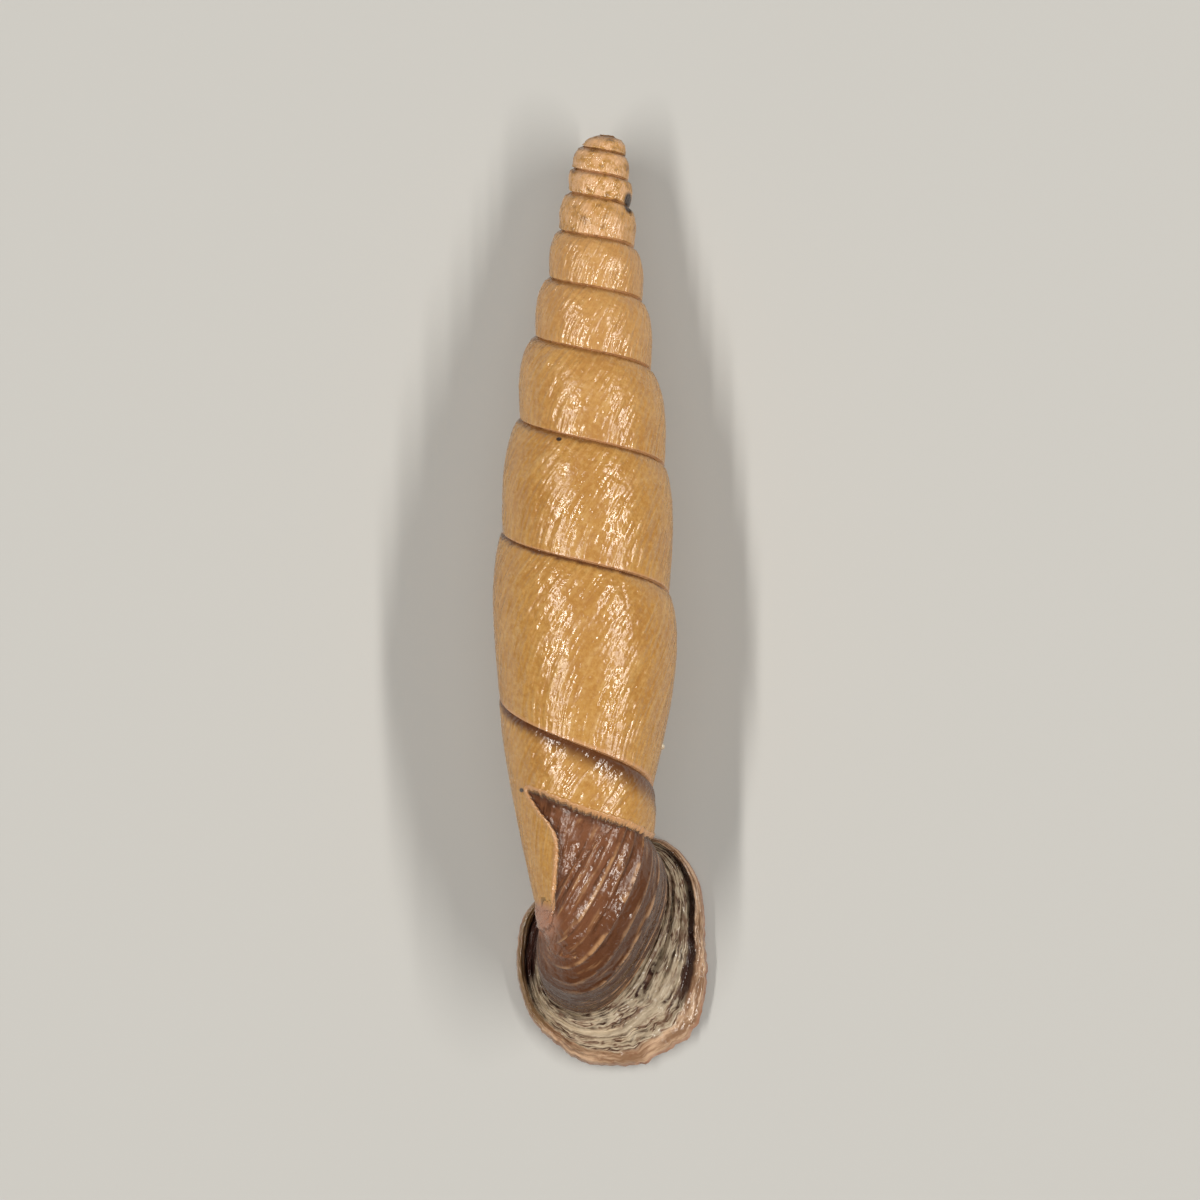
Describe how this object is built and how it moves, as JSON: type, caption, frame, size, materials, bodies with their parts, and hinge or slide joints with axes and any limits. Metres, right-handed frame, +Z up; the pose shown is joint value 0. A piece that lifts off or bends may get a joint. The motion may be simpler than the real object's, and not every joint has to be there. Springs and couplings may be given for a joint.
{
  "type": "snail shell",
  "caption": "Slender left-coiling door snail shell with a bent neck and a broad trumpet lip, lying on its mouth.",
  "frame": {"origin": "the ground below the middle of the shell as it lies on its mouth and belly", "axes": "+Y along the shell towards its apex, +Z up through its dorsal side"},
  "size_m": [0.007, 0.0304, 0.006],
  "materials": {
    "shell": "glossy tan-orange shell, brown on the neck, cream and grey on the lip"
  },
  "bodies": {
    "root": {"shell": "shell"}
  },
  "joints": []
}
